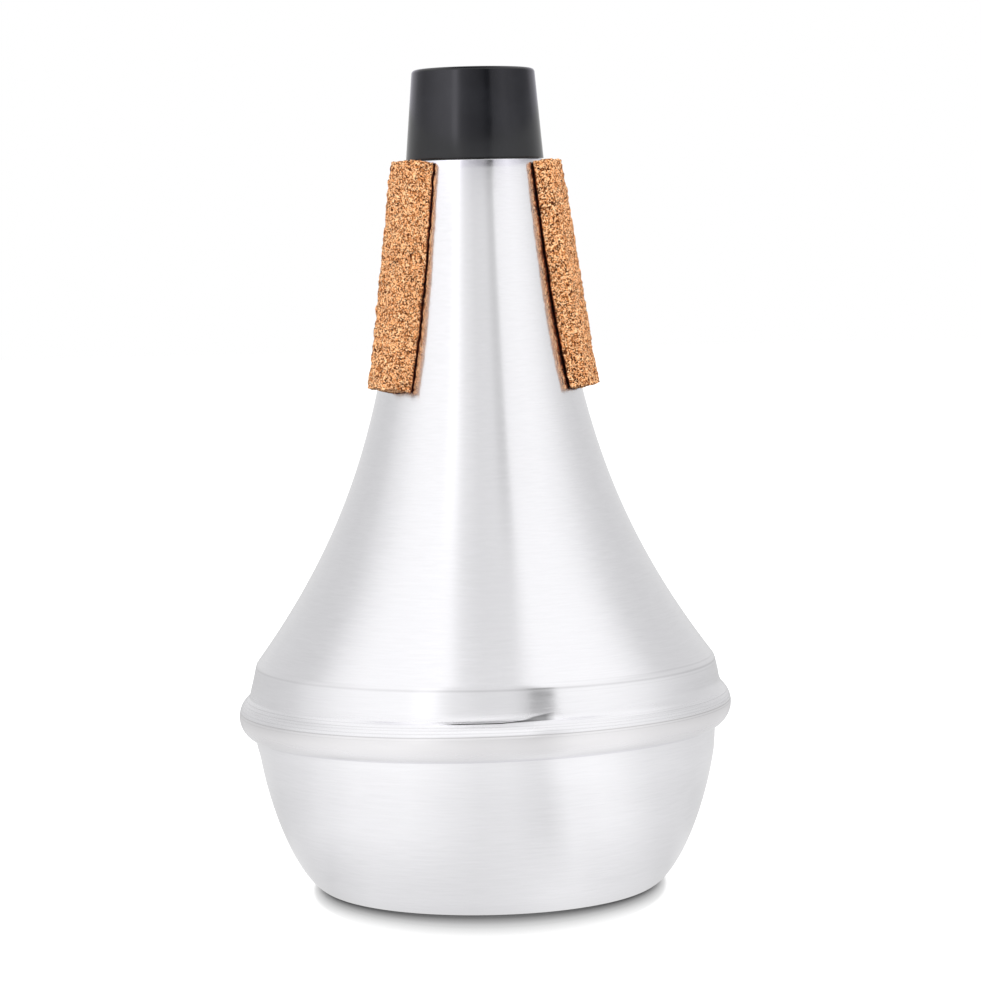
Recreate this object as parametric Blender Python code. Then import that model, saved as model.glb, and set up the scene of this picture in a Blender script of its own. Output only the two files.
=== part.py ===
"""Trumpet straight mute.

Two spun aluminium shells, a flared cone and a bowl, are rolled together in a full-round bead. A moulded
throat sleeve plugs the open neck, and three cork strips on the neck grip the bell of the trumpet.

Lengths are in metres. +Z runs up the axis of the mute and the origin is the centre of the foot.
An azimuth is measured from the front, -Y, and grows towards +X.
"""

import math

import bmesh
import bpy
from mathutils import Matrix

MM = 0.001

# Clearances
SEAT_GAP = 0.3 * MM             # between two pieces that touch on the real mute
THROAT_FIT = 0.3 * MM           # around the sleeve's spigot in the neck

# Sheet metal
CONE_WALL = 1.0 * MM
BOWL_WALL = 1.0 * MM

# Rolled bead, the widest place of the mute
BEAD_RADIUS = 54.0 * MM         # from the axis to the bead's outermost line
BEAD_ROUND = 5.1 * MM           # radius of the bead's own section
BEAD_HEIGHT = 39.2 * MM         # height of the middle of the bead
LIP_ANGLE = math.radians(-62)   # where the rolled edge ends, seen from the middle of the bead
FLANGE_ANGLE = math.radians(20)  # where the trapped flange ends, seen from the same point

# Cone
RIM_RADIUS = 15.1 * MM
NECK_RISE = 108.8 * MM          # from the shoulder up to the rim
RIM_SLOPE = 0.118               # widening per unit of height at the rim
RIM_REACH = 41.2 * MM           # how far down the rim's slope steers the curve
SHOULDER_RISE = 10.7 * MM       # from the middle of the bead up to the shoulder
SHOULDER_INSET = 3.7 * MM       # how far the shoulder lies inside the bead's outermost line
SHOULDER_SLOPE = 0.75
SHOULDER_REACH = 37.4 * MM
SHOULDER_ROUND = 3.0 * MM
BAND_INSET = 2.3 * MM           # how far the foot of the band lies inside the bead's outermost line
BAND_FILLET = 1.5 * MM          # hollow rounding between the band and the bead

# Bowl
FOOT_RADIUS = 35.5 * MM         # flat ring that the mute stands on
FOOT_WIDTH = 5.0 * MM
DISH_DEPTH = 0.6 * MM           # the middle of the foot is pressed in, so that the mute stands still
DISH_RUN = 2.0 * MM
FOOT_REACH = 5.2 * MM           # how far out the flat foot steers the curve
WALL_REACH = 18.2 * MM          # how far down the wall's slope steers the curve
WALL_SLOPE = 0.105
SEAM_DROP = 4.8 * MM            # from the middle of the bead down to the top of the bowl's open wall

# Throat sleeve
SLEEVE_RISE = 19.5 * MM         # from its shoulder to its top
SLEEVE_INSET = 0.12 * MM        # how far its shoulder lies inside the rim
SLEEVE_TAPER = 1.58 * MM        # narrowing of its radius from its shoulder to its top
SLEEVE_LIP = 1.5 * MM
SLEEVE_WALL = 2.4 * MM          # of the spigot, which leaves the straight bore inside it
SLEEVE_BORE_ROUND = 0.4 * MM
SPIGOT_LENGTH = 12.0 * MM
SPIGOT_LEAD = 0.8 * MM          # chamfer that leads the spigot in

# Cork strips
CORK_LENGTH = 49.5 * MM
CORK_WIDTH = 9.2 * MM
CORK_THICKNESS = 4.1 * MM       # at both its ends
CORK_CROWN = 0.5 * MM           # more half-way along, where the stiff strip spans the neck's hollow
CORK_DROP = 0.6 * MM            # below the rim, along the cone
CORK_PLACES = {                 # glued on by hand, so not quite a third of a turn apart
    "cork_strip_left": math.radians(-53.0),
    "cork_strip_right": math.radians(73.0),
    "cork_strip_back": math.radians(190.0),
}

# Fineness
TURN_STEPS = 56
FLARE_STEPS = 16
WALL_STEPS = 9
ROUND_STEPS = 3
OVER_STEPS = 4                  # of the bead, from the band to its outermost line
UNDER_STEPS = 6                 # of the bead, from its outermost line to the lip
FLANGE_STEPS = 6
CORK_STEPS = 12
CORK_STEPS_ACROSS = 4
MERGE_DISTANCE = 0.001 * MM
SHARP_ANGLE = math.radians(25)

ALUMINIUM = ("spun_aluminium", (0.80, 0.81, 0.82), 0.28, 1.0)
BLACK_PLASTIC = ("black_plastic", (0.020, 0.021, 0.024), 0.22, 0.0)
CORK = ("agglomerated_cork", (0.60, 0.35, 0.17), 0.85, 0.0)


def clear_scene():
    for old in list(bpy.data.objects):
        bpy.data.objects.remove(old, do_unlink=True)


def make_material(finish):
    name, colour, roughness, metallic = finish
    material = bpy.data.materials.new(name)
    material.use_nodes = True
    shader = material.node_tree.nodes["Principled BSDF"]
    shader.inputs["Base Color"].default_value = (*colour, 1.0)
    shader.inputs["Roughness"].default_value = roughness
    shader.inputs["Metallic"].default_value = metallic
    return material


def fractions(steps):
    return [i / steps for i in range(steps + 1)]


def along(start, end, share):
    return (start[0] + share * (end[0] - start[0]), start[1] + share * (end[1] - start[1]))


def arc(centre, radius, start, end, steps):
    """Points of an arc about a centre in the (radius, height) plane, from one angle to another."""
    angles = [start + share * (end - start) for share in fractions(steps)]
    return [(centre[0] + radius * math.cos(a), centre[1] + radius * math.sin(a)) for a in angles]


def bezier(points, share):
    """Point of a cubic curve with its two end points and the two handles between them."""
    while len(points) > 1:
        points = [along(a, b, share) for a, b in zip(points, points[1:])]
    return points[0]


def rounded_corner(before, corner, after, radius, steps):
    """Arc of the given radius that rounds one corner of an outline."""
    into = math.atan2(corner[1] - before[1], corner[0] - before[0])
    out = math.atan2(after[1] - corner[1], after[0] - corner[0])
    turn = math.remainder(out - into, math.tau)
    run = radius * math.tan(abs(turn) / 2)
    start = (corner[0] - run * math.cos(into), corner[1] - run * math.sin(into))
    side = math.copysign(math.pi / 2, turn)
    centre = (start[0] + radius * math.cos(into + side), start[1] + radius * math.sin(into + side))
    return arc(centre, radius, into - side, into - side + turn, steps)


def offset(points, distance):
    """The outline moved to its right, seen along its direction, by a wall thickness."""
    moved = []
    for i, point in enumerate(points):
        before = points[max(i - 1, 0)]
        after = points[min(i + 1, len(points) - 1)]
        run = (after[0] - before[0], after[1] - before[1])
        length = math.hypot(*run)
        moved.append((point[0] + distance * run[1] / length, point[1] - distance * run[0] / length))
    return moved


def turned(name, outline, closed, material):
    """Solid of revolution about Z: the outline is spun, and its ends meet on the axis or each other."""
    shape = bmesh.new()
    points = [shape.verts.new((radius, 0.0, height)) for radius, height in outline]
    edges = [shape.edges.new(pair) for pair in zip(points, points[1:])]
    if closed:
        edges.append(shape.edges.new((points[-1], points[0])))
    axis = (0.0, 0.0, 1.0)
    bmesh.ops.spin(shape, geom=points + edges, axis=axis, angle=math.tau, steps=TURN_STEPS, use_merge=True)
    bmesh.ops.remove_doubles(shape, verts=shape.verts, dist=MERGE_DISTANCE)
    bmesh.ops.recalc_face_normals(shape, faces=shape.faces)
    mesh = bpy.data.meshes.new(name)
    shape.to_mesh(mesh)
    shape.free()
    mesh.shade_smooth()
    mesh.set_sharp_from_angle(angle=SHARP_ANGLE)
    mesh.materials.append(material)
    piece = bpy.data.objects.new(name, mesh)
    bpy.context.scene.collection.objects.link(piece)
    return piece


def bead_centre():
    return (BEAD_RADIUS - BEAD_ROUND, BEAD_HEIGHT)


def rim_point():
    return (RIM_RADIUS, BEAD_HEIGHT + SHOULDER_RISE + NECK_RISE)


def shoulder_point():
    return (BEAD_RADIUS - SHOULDER_INSET, BEAD_HEIGHT + SHOULDER_RISE)


def flare_point(share):
    """Point of the cone's outer surface, from the rim (0) to the shoulder (1)."""
    rim = rim_point()
    shoulder = shoulder_point()
    rim_handle = (rim[0] + RIM_SLOPE * RIM_REACH, rim[1] - RIM_REACH)
    shoulder_handle = (shoulder[0] - SHOULDER_SLOPE * SHOULDER_REACH, shoulder[1] + SHOULDER_REACH)
    return bezier([rim, rim_handle, shoulder_handle, shoulder], share)


def roll_start(radius, inset):
    """Angle at which a band that lies inside the bead's outermost line meets a circle in the bead."""
    reach = BEAD_ROUND - inset
    return math.acos(min(reach / radius, 1.0))


def band_fillet(band_end, band_foot, centre):
    """Hollow rounding that touches the band and the bead, and the angle where it leaves the bead.

    Its middle lies outside both, one rounding radius off each of them.
    """
    run = (band_foot[0] - band_end[0], band_foot[1] - band_end[1])
    length = math.hypot(*run)
    run = (run[0] / length, run[1] / length)
    side = (-run[1], run[0])
    base = (band_end[0] + side[0] * BAND_FILLET, band_end[1] + side[1] * BAND_FILLET)
    to_centre = (centre[0] - base[0], centre[1] - base[1])
    down = to_centre[0] * run[0] + to_centre[1] * run[1]
    across = to_centre[0] * side[0] + to_centre[1] * side[1]
    down -= math.sqrt((BEAD_ROUND + BAND_FILLET) ** 2 - across ** 2)
    hub = (base[0] + down * run[0], base[1] + down * run[1])
    on_band = math.atan2(-side[1], -side[0])
    on_bead = math.atan2(centre[1] - hub[1], centre[0] - hub[0])
    turn = math.remainder(on_bead - on_band, math.tau)
    points = arc(hub, BAND_FILLET, on_band, on_band + turn, ROUND_STEPS)
    return points[:-1], math.atan2(hub[1] - centre[1], hub[0] - centre[0])


def turn_round(centre, radius, start, end):
    """Arc over the outermost line of the bead, with a point on that line."""
    return arc(centre, radius, start, 0.0, OVER_STEPS) + arc(centre, radius, 0.0, end, UNDER_STEPS)[1:]


def build_cone_shell(material):
    centre = bead_centre()
    flare = [flare_point(share) for share in fractions(FLARE_STEPS)]
    band_angle = roll_start(BEAD_ROUND, BAND_INSET)
    band_foot = arc(centre, BEAD_ROUND, band_angle, band_angle, 1)[0]
    shoulder = rounded_corner(flare[-2], flare[-1], band_foot, SHOULDER_ROUND, ROUND_STEPS)
    skin = flare[:-1] + shoulder
    fillet, bead_angle = band_fillet(shoulder[-1], band_foot, centre)
    roll = fillet + turn_round(centre, BEAD_ROUND, bead_angle, LIP_ANGLE)

    inner_round = BEAD_ROUND - CONE_WALL
    inner_angle = roll_start(inner_round, BAND_INSET + CONE_WALL)
    inner_roll = turn_round(centre, inner_round, inner_angle, LIP_ANGLE)[::-1]
    inner_skin = offset(skin, CONE_WALL)
    rim = rim_point()
    inner_skin[0] = (rim[0] - CONE_WALL, rim[1])
    return turned("cone_shell", skin + roll + inner_roll + inner_skin[::-1], True, material)


def build_base_bowl(material):
    centre = bead_centre()
    nest_round = BEAD_ROUND - CONE_WALL - SEAT_GAP
    lip = arc(centre, BEAD_ROUND - CONE_WALL, LIP_ANGLE, LIP_ANGLE, 1)[0]
    wall_radius = lip[0] - SEAT_GAP
    wall_top = (wall_radius, BEAD_HEIGHT - SEAM_DROP)
    wall_neck = (wall_radius, lip[1])

    foot = (FOOT_RADIUS, 0.0)
    foot_handle = (FOOT_RADIUS + FOOT_REACH, 0.0)
    wall_handle = (wall_top[0] - WALL_SLOPE * WALL_REACH, wall_top[1] - WALL_REACH)
    curve = [wall_top, wall_handle, foot_handle, foot]
    wall = [bezier(curve, share) for share in fractions(WALL_STEPS)]
    dish_edge = (FOOT_RADIUS - FOOT_WIDTH, 0.0)
    dish = (dish_edge[0] - DISH_RUN, DISH_DEPTH)

    flange = arc(centre, nest_round, FLANGE_ANGLE, LIP_ANGLE, FLANGE_STEPS)
    outside = [*flange, wall_neck, *wall, dish_edge, dish, (0.0, DISH_DEPTH)]

    inner_flange = arc(centre, nest_round - BOWL_WALL, LIP_ANGLE, FLANGE_ANGLE, FLANGE_STEPS)
    inner_wall = offset([wall_neck, *wall, dish_edge], BOWL_WALL)
    inner_wall[-1] = (dish_edge[0], BOWL_WALL)
    inner_dish = (dish[0], DISH_DEPTH + BOWL_WALL)
    inside = [(0.0, DISH_DEPTH + BOWL_WALL), inner_dish, *inner_wall[::-1], *inner_flange]
    return turned("base_bowl", inside + outside, False, material)


def build_throat_sleeve(material):
    rim_radius, rim_height = rim_point()
    foot_radius = rim_radius - SLEEVE_INSET
    shoulder_height = rim_height + SEAT_GAP
    top = shoulder_height + SLEEVE_RISE
    spigot_radius = rim_radius - CONE_WALL - THROAT_FIT
    spigot_foot = shoulder_height - SPIGOT_LENGTH
    bore = spigot_radius - SLEEVE_WALL
    lip_centre = (foot_radius - SLEEVE_TAPER - SLEEVE_LIP, top - SLEEVE_LIP)
    lip = arc(lip_centre, SLEEVE_LIP, math.pi / 2, 0.0, 2 * ROUND_STEPS)
    bore_centre = (bore + SLEEVE_BORE_ROUND, top - SLEEVE_BORE_ROUND)
    bore_edge = arc(bore_centre, SLEEVE_BORE_ROUND, math.pi, math.pi / 2, ROUND_STEPS)
    outline = [
        *lip,
        (foot_radius, shoulder_height),
        (spigot_radius, shoulder_height),
        (spigot_radius, spigot_foot + SPIGOT_LEAD),
        (spigot_radius - SPIGOT_LEAD, spigot_foot),
        (bore, spigot_foot),
        *bore_edge,
    ]
    return turned("throat_sleeve", outline, True, material)


def cork_sections():
    """Seat point, outward normal and thickness of a strip at places equally spaced from its top."""
    fine = [flare_point(share) for share in fractions(40 * FLARE_STEPS)]
    distances = [0.0]
    for a, b in zip(fine, fine[1:]):
        distances.append(distances[-1] + math.dist(a, b))
    sections = []
    for share in fractions(CORK_STEPS):
        wanted = CORK_DROP + share * CORK_LENGTH
        i = next(i for i, distance in enumerate(distances) if distance >= wanted)
        i = max(i, 1)
        seat = along(fine[i - 1], fine[i], (wanted - distances[i - 1]) / (distances[i] - distances[i - 1]))
        run = (fine[i][0] - fine[i - 1][0], fine[i][1] - fine[i - 1][1])
        length = math.hypot(*run)
        thickness = CORK_THICKNESS + CORK_CROWN * 4 * share * (1 - share)
        sections.append((seat, (-run[1] / length, run[0] / length), thickness))
    return sections


def cork_mesh(material):
    """A strip whose underside follows the neck and whose sides and ends are cut square."""
    shape = bmesh.new()
    halves = [share * CORK_WIDTH - CORK_WIDTH / 2 for share in fractions(CORK_STEPS_ACROSS)]
    rings = []
    for seat, normal, thickness in cork_sections():
        ring = []
        for lift, sideways in ((SEAT_GAP, halves), (SEAT_GAP + thickness, halves[::-1])):
            radius = seat[0] + lift * normal[0]
            height = seat[1] + lift * normal[1]
            for y in sideways:
                ring.append(shape.verts.new((math.sqrt(radius ** 2 - y ** 2), y, height)))
        rings.append(ring)
    for upper, lower in zip(rings, rings[1:]):
        for i in range(len(upper)):
            j = (i + 1) % len(upper)
            shape.faces.new((upper[i], lower[i], lower[j], upper[j]))
    count = CORK_STEPS_ACROSS + 1
    for ring in (rings[0], rings[-1][::-1]):
        for i in range(count - 1):
            shape.faces.new((ring[i], ring[i + 1], ring[-2 - i], ring[-1 - i]))
    bmesh.ops.recalc_face_normals(shape, faces=shape.faces)
    mesh = bpy.data.meshes.new("cork_strip")
    shape.to_mesh(mesh)
    shape.free()
    mesh.materials.append(material)
    return mesh


def build_cork_strips(material):
    mesh = cork_mesh(material)
    strips = []
    for name, azimuth in CORK_PLACES.items():
        strip = bpy.data.objects.new(name, mesh)
        strip.matrix_world = Matrix.Rotation(azimuth - math.pi / 2, 4, "Z")
        bpy.context.scene.collection.objects.link(strip)
        strips.append(strip)
    return strips


def main():
    clear_scene()
    aluminium = make_material(ALUMINIUM)
    plastic = make_material(BLACK_PLASTIC)
    cork = make_material(CORK)
    mute = bpy.data.objects.new("trumpet_straight_mute", None)
    bpy.context.scene.collection.objects.link(mute)
    pieces = [
        build_cone_shell(aluminium),
        build_base_bowl(aluminium),
        build_throat_sleeve(plastic),
        *build_cork_strips(cork),
    ]
    for piece in pieces:
        piece.parent = mute


main()
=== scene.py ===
"""Looks of a trumpet straight mute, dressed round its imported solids.

The two spun aluminium shells, the moulded throat sleeve and the three cork strips are modelled here finer
than in the solids that they stand for, and the studio round them is set up. The main sizes are the solids'.
Only here are the tilt of the seam, the fine grooves, a hollow over the bead that widens to the right, a
sharper lip on the sleeve, and the turn and thickness of each front strip.

Lengths are in metres. +Z runs up the axis of the mute and the origin is the centre of its foot. An azimuth is
measured from the front, -Y, and grows towards +X.
"""

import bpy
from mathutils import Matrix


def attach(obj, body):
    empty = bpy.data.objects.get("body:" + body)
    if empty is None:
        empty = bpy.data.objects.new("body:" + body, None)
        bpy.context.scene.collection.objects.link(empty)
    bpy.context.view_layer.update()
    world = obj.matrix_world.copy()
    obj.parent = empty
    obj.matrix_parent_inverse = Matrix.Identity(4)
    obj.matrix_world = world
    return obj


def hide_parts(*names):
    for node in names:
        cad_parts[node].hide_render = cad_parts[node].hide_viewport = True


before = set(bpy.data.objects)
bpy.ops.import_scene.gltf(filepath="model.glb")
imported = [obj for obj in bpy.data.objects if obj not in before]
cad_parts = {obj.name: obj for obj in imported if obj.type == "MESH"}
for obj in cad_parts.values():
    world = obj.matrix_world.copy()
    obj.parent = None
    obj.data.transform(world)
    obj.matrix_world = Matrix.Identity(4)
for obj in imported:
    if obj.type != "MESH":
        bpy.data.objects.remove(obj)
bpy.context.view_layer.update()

import logging
import math
from dataclasses import dataclass, replace
from enum import Enum

import bpy
from mathutils import Matrix, Vector, kdtree, noise

LOG = logging.getLogger("mute")
MM = 0.001

Point = tuple[float, float]
Colour = tuple[float, float, float]
Levels = tuple[Point, ...]
Material = bpy.types.Material
Mesh = bpy.types.Mesh
NodeTree = bpy.types.NodeTree
Piece = bpy.types.Object
Socket = bpy.types.NodeSocket

BLACK = (0.0, 0.0, 0.0, 1.0)
WHITE = (1.0, 1.0, 1.0, 1.0)

# without a seed, the noise that tears the cork is drawn anew each run
NOISE_SEED = 7

# a colour ramp keeps levels between 0 and 1, so it holds this share of each level
LEVEL_SHARE = 0.4


class Slot(Enum):
    """Material slots of the record."""

    ALUMINIUM = "spun_aluminium"
    PLASTIC = "black_plastic"
    CORK = "cork"


# outlines of sections, as (radius, height) points


def fractions(steps: int) -> list[float]:
    """Evenly spaced shares from 0 to 1."""
    return [i / steps for i in range(steps + 1)]


def along(start: Point, end: Point, share: float) -> Point:
    """Point between two others."""
    return (start[0] + share * (end[0] - start[0]), start[1] + share * (end[1] - start[1]))


def arc(centre: Point, radius: float, start: float, end: float, steps: int) -> list[Point]:
    """Points of an arc in the (radius, height) plane.

    Args:
        centre: middle of the arc.
        radius: its radius.
        start: first angle, from the outward direction towards up.
        end: last angle.
        steps: number of chords.

    Returns:
        The points, ends included.
    """
    angles = [start + share * (end - start) for share in fractions(steps)]
    return [(centre[0] + radius * math.cos(a), centre[1] + radius * math.sin(a)) for a in angles]


def bezier(points: list[Point], share: float) -> Point:
    """Point of a curve given by its ends and the handles between them."""
    while len(points) > 1:
        points = [along(a, b, share) for a, b in zip(points, points[1:])]
    return points[0]


def rounded_corner(before: Point, corner: Point, after: Point, radius: float, steps: int) -> list[Point]:
    """Arc that rounds one corner of an outline.

    Args:
        before: a point on the straight into the corner.
        corner: the sharp corner.
        after: a point on the straight out of it.
        radius: radius of the rounding.
        steps: number of chords.

    Returns:
        The points of the arc, ends included.
    """
    into = math.atan2(corner[1] - before[1], corner[0] - before[0])
    out = math.atan2(after[1] - corner[1], after[0] - corner[0])
    turn = math.remainder(out - into, math.tau)
    run = radius * math.tan(abs(turn) / 2)
    start = (corner[0] - run * math.cos(into), corner[1] - run * math.sin(into))
    side = math.copysign(math.pi / 2, turn)
    centre = (start[0] + radius * math.cos(into + side), start[1] + radius * math.sin(into + side))
    return arc(centre, radius, into - side, into - side + turn, steps)


def offset(points: list[Point], distance: float) -> list[Point]:
    """The outline moved to its right, seen along its direction, by a wall thickness."""
    moved = []
    for i, point in enumerate(points):
        before = points[max(i - 1, 0)]
        after = points[min(i + 1, len(points) - 1)]
        run = (after[0] - before[0], after[1] - before[1])
        length = math.hypot(*run)
        moved.append((point[0] + distance * run[1] / length, point[1] - distance * run[0] / length))
    return moved


def length_at(points: list[Point], height: float) -> float:
    """Distance along a falling outline at which it first passes a height."""
    length = 0.0
    for a, b in zip(points, points[1:]):
        step = math.dist(a, b)
        if a[1] >= height > b[1]:
            return length + step * (a[1] - height) / (a[1] - b[1])
        length += step
    return length


def smooth_share(value: float, low: float, high: float) -> float:
    """Share of the way from low to high, eased at both ends."""
    share = min(max((value - low) / (high - low), 0.0), 1.0)
    return share * share * (3.0 - 2.0 * share)


# modelling helpers


def deselect_all() -> None:
    """Leaves nothing selected, so that an operator acts on the new piece alone."""
    if bpy.context.object and bpy.context.object.mode != "OBJECT":
        bpy.ops.object.mode_set(mode="OBJECT")
    bpy.ops.object.select_all(action="DESELECT")


def apply_place() -> None:
    """Moves the active object's place into its mesh."""
    bpy.ops.object.transform_apply(location=True, rotation=True, scale=True)


def store(mesh: Mesh, name: str, values: list[float]) -> None:
    """Keeps a value of each point in an attribute."""
    mesh.attributes.new(name, "FLOAT", "POINT").data.foreach_set("value", values)


def nearest_in(outline: list[Point]) -> kdtree.KDTree:
    """Look-up of the point of an outline that lies nearest."""
    tree = kdtree.KDTree(len(outline))
    for i, (radius, height) in enumerate(outline):
        tree.insert((radius, 0.0, height), i)
    tree.balance()
    return tree


@dataclass
class Turning:
    """A sheet or moulding turned about the upright axis.

    Attributes:
        name: name of the piece.
        outline: points of its section, as (radius, height).
        closed: whether the section is a loop; otherwise both its ends lie on the axis.
        steps: segments round the axis.
        smooth_angle: edges sharper than this stay sharp.
        merge: points closer than this become one.
    """

    name: str
    outline: list[Point]
    closed: bool
    steps: int = 240
    smooth_angle: float = math.radians(32)
    merge: float = 0.004 * MM

    def draw_section(self) -> None:
        """Draws the section as a chain of extruded points."""
        first = self.outline[0]
        chain = [*self.outline, first] if self.closed else self.outline
        bpy.ops.mesh.primitive_circle_add(vertices=3, radius=MM, location=(first[0], 0.0, first[1]))
        apply_place()
        bpy.ops.object.mode_set(mode="EDIT")
        bpy.ops.mesh.select_all(action="SELECT")
        bpy.ops.mesh.merge(type="CENTER")
        for before, after in zip(chain, chain[1:]):
            move = (after[0] - before[0], 0.0, after[1] - before[1])
            bpy.ops.mesh.extrude_vertices_move(TRANSFORM_OT_translate={"value": move})

    def spin(self) -> Piece:
        """Spins the section into a shell.

        Returns:
            The new object, with the length along its section kept in the attribute "along".
        """
        deselect_all()
        self.draw_section()
        bpy.ops.mesh.select_all(action="SELECT")
        bpy.ops.mesh.spin(steps=self.steps, angle=math.tau, center=(0, 0, 0), axis=(0, 0, 1))
        bpy.ops.mesh.select_all(action="SELECT")
        bpy.ops.mesh.remove_doubles(threshold=self.merge)
        bpy.ops.mesh.normals_make_consistent(inside=False)
        bpy.ops.object.mode_set(mode="OBJECT")
        piece = bpy.context.object
        piece.name = self.name
        piece.data.name = self.name
        bpy.ops.object.shade_smooth_by_angle(angle=self.smooth_angle)
        self.mark_length(piece.data)
        return piece

    def mark_length(self, mesh: Mesh) -> None:
        """Stores on each point how far along the section it lies.

        Args:
            mesh: the spun mesh.
        """
        lengths = [0.0]
        for a, b in zip(self.outline, self.outline[1:]):
            lengths.append(lengths[-1] + math.dist(a, b))
        tree = nearest_in(self.outline)
        values = []
        for vertex in mesh.vertices:
            x, y, z = vertex.co
            values.append(lengths[tree.find((math.hypot(x, y), 0.0, z))[1]])
        store(mesh, "along", values)


# node helpers


class Tree:
    """A thin handle on a node tree, which adds and links nodes."""

    def __init__(self, tree: NodeTree) -> None:
        """Keeps the tree."""
        self.tree = tree

    def add(self, kind: str, links: dict | None = None, **values: object) -> bpy.types.Node:
        """Adds a node.

        Args:
            kind: the node's type name without "ShaderNode".
            links: socket name or number -> value or output socket.
            **values: settings of the node itself.

        Returns:
            The node.
        """
        node = self.tree.nodes.new("ShaderNode" + kind)
        for key, value in values.items():
            setattr(node, key, value)
        for key, value in (links or {}).items():
            self.put(node.inputs[key], value)
        return node

    def put(self, socket: Socket, value: object) -> None:
        """Links or sets one input."""
        if isinstance(value, Socket):
            self.tree.links.new(value, socket)
        else:
            socket.default_value = value

    def math(self, operation: str, *values: object, clamp: bool = False) -> Socket:
        """Adds a math node and gives its result."""
        node = self.add("Math", dict(enumerate(values)), operation=operation, use_clamp=clamp)
        return node.outputs[0]

    def mix(self, share: object, first: object, second: object, blend: str = "MIX") -> Socket:
        """Adds a colour mix and gives its result."""
        node = self.add("Mix", data_type="RGBA", blend_type=blend)
        self.put(node.inputs["Factor"], share)
        self.put(node.inputs["A"], first)
        self.put(node.inputs["B"], second)
        return node.outputs["Result"]

    def unit(self, vector: object) -> Socket:
        """Adds a normalised vector and gives its result."""
        return self.add("VectorMath", {0: vector}, operation="NORMALIZE").outputs[0]

    def place(self) -> Socket:
        """Adds the place on the object and gives it."""
        return self.add("TexCoord").outputs["Object"]

    def read(self, name: str) -> Socket:
        """Adds a look-up of an attribute and gives its value."""
        return self.add("Attribute", attribute_name=name).outputs["Fac"]

    def split(self, vector: object) -> bpy.types.bpy_prop_collection:
        """Adds a split of a vector and gives its parts X, Y and Z."""
        return self.add("SeparateXYZ", {0: vector}).outputs

    def grey(self, value: object) -> Socket:
        """Adds a grey colour of the given value and gives it."""
        return self.add("CombineColor", {0: value, 1: value, 2: value}).outputs[0]

    def ramp(self, value: object, stops: list[tuple[float, tuple]]) -> Socket:
        """Adds a colour ramp.

        Args:
            value: what drives it.
            stops: (position, colour) pairs in order.

        Returns:
            Its colour.
        """
        node = self.add("ValToRGB", {"Fac": value})
        elements = node.color_ramp.elements
        elements[0].position, elements[0].color = stops[0][0], (*stops[0][1], 1.0)
        elements[1].position, elements[1].color = stops[-1][0], (*stops[-1][1], 1.0)
        for position, colour in stops[1:-1]:
            elements.new(position).color = (*colour, 1.0)
        return node.outputs["Color"]

    def span(self, value: object, low: float, high: float, *results: float) -> Socket:
        """Adds a clamped map range.

        Args:
            value: what drives it.
            low: value at its start.
            high: value at its end.
            *results: what it gives at its start and end, 0 and 1 if left out.

        Returns:
            Its result.
        """
        to_low, to_high = results or (0.0, 1.0)
        links = {"Value": value, "From Min": low, "From Max": high, "To Min": to_low, "To Max": to_high}
        return self.add("MapRange", links).outputs["Result"]


def new_group(name: str, inputs: list[tuple[str, str, float]], outputs: list[tuple[str, str]]) -> tuple:
    """Starts a shader node group.

    Args:
        name: the group's name.
        inputs: (name, socket type, default) of each input.
        outputs: (name, socket type) of each output.

    Returns:
        The group, a Tree on it, its input node and its output node.
    """
    group = bpy.data.node_groups.new(name, "ShaderNodeTree")
    for title, kind, value in inputs:
        socket = group.interface.new_socket(title, in_out="INPUT", socket_type="NodeSocket" + kind)
        if kind == "Float":
            socket.default_value = value
    for title, kind in outputs:
        group.interface.new_socket(title, in_out="OUTPUT", socket_type="NodeSocket" + kind)
    tree = Tree(group)
    return group, tree, group.nodes.new("NodeGroupInput"), group.nodes.new("NodeGroupOutput")


def new_material(name: str) -> tuple[Material, Tree, bpy.types.Node]:
    """Starts a material, and gives it, a Tree on it and its Principled shader."""
    material = bpy.data.materials.new(name)
    material.use_nodes = True
    return material, Tree(material.node_tree), material.node_tree.nodes["Principled BSDF"]


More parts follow.
